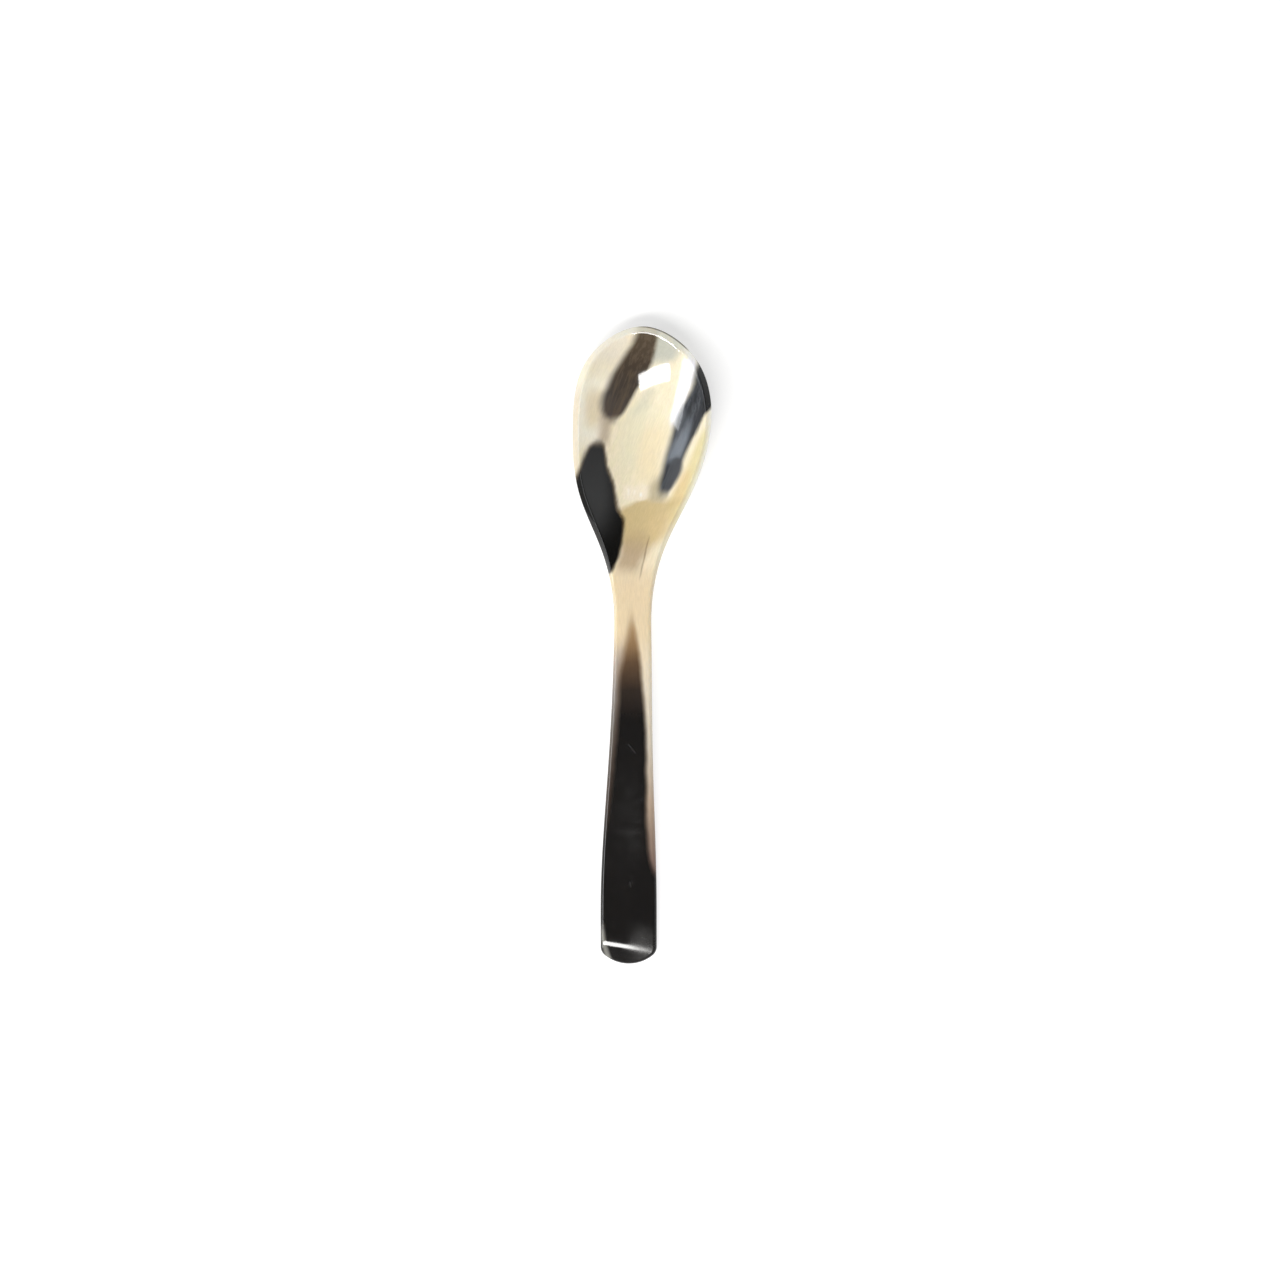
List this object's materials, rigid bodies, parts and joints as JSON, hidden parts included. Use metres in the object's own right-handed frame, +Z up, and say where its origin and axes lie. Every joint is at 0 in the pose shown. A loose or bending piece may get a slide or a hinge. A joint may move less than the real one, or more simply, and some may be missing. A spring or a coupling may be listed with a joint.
{
  "type": "serving spoon",
  "caption": "Flat-handled serving spoon of polished cattle horn with a shallow oval bowl, for serving salad and other food at the table.",
  "frame": {"origin": "under the middle of the spoon's box, on the plane it rests on", "axes": "+Y from the handle end to the tip of the bowl, +Z up out of the bowl, +X to the right of someone who holds the handle and looks along it into the bowl"},
  "size_m": [0.0477, 0.2201, 0.0132],
  "materials": {
    "horn": "polished"
  },
  "bodies": {
    "root": {"spoon": "horn"}
  },
  "joints": []
}
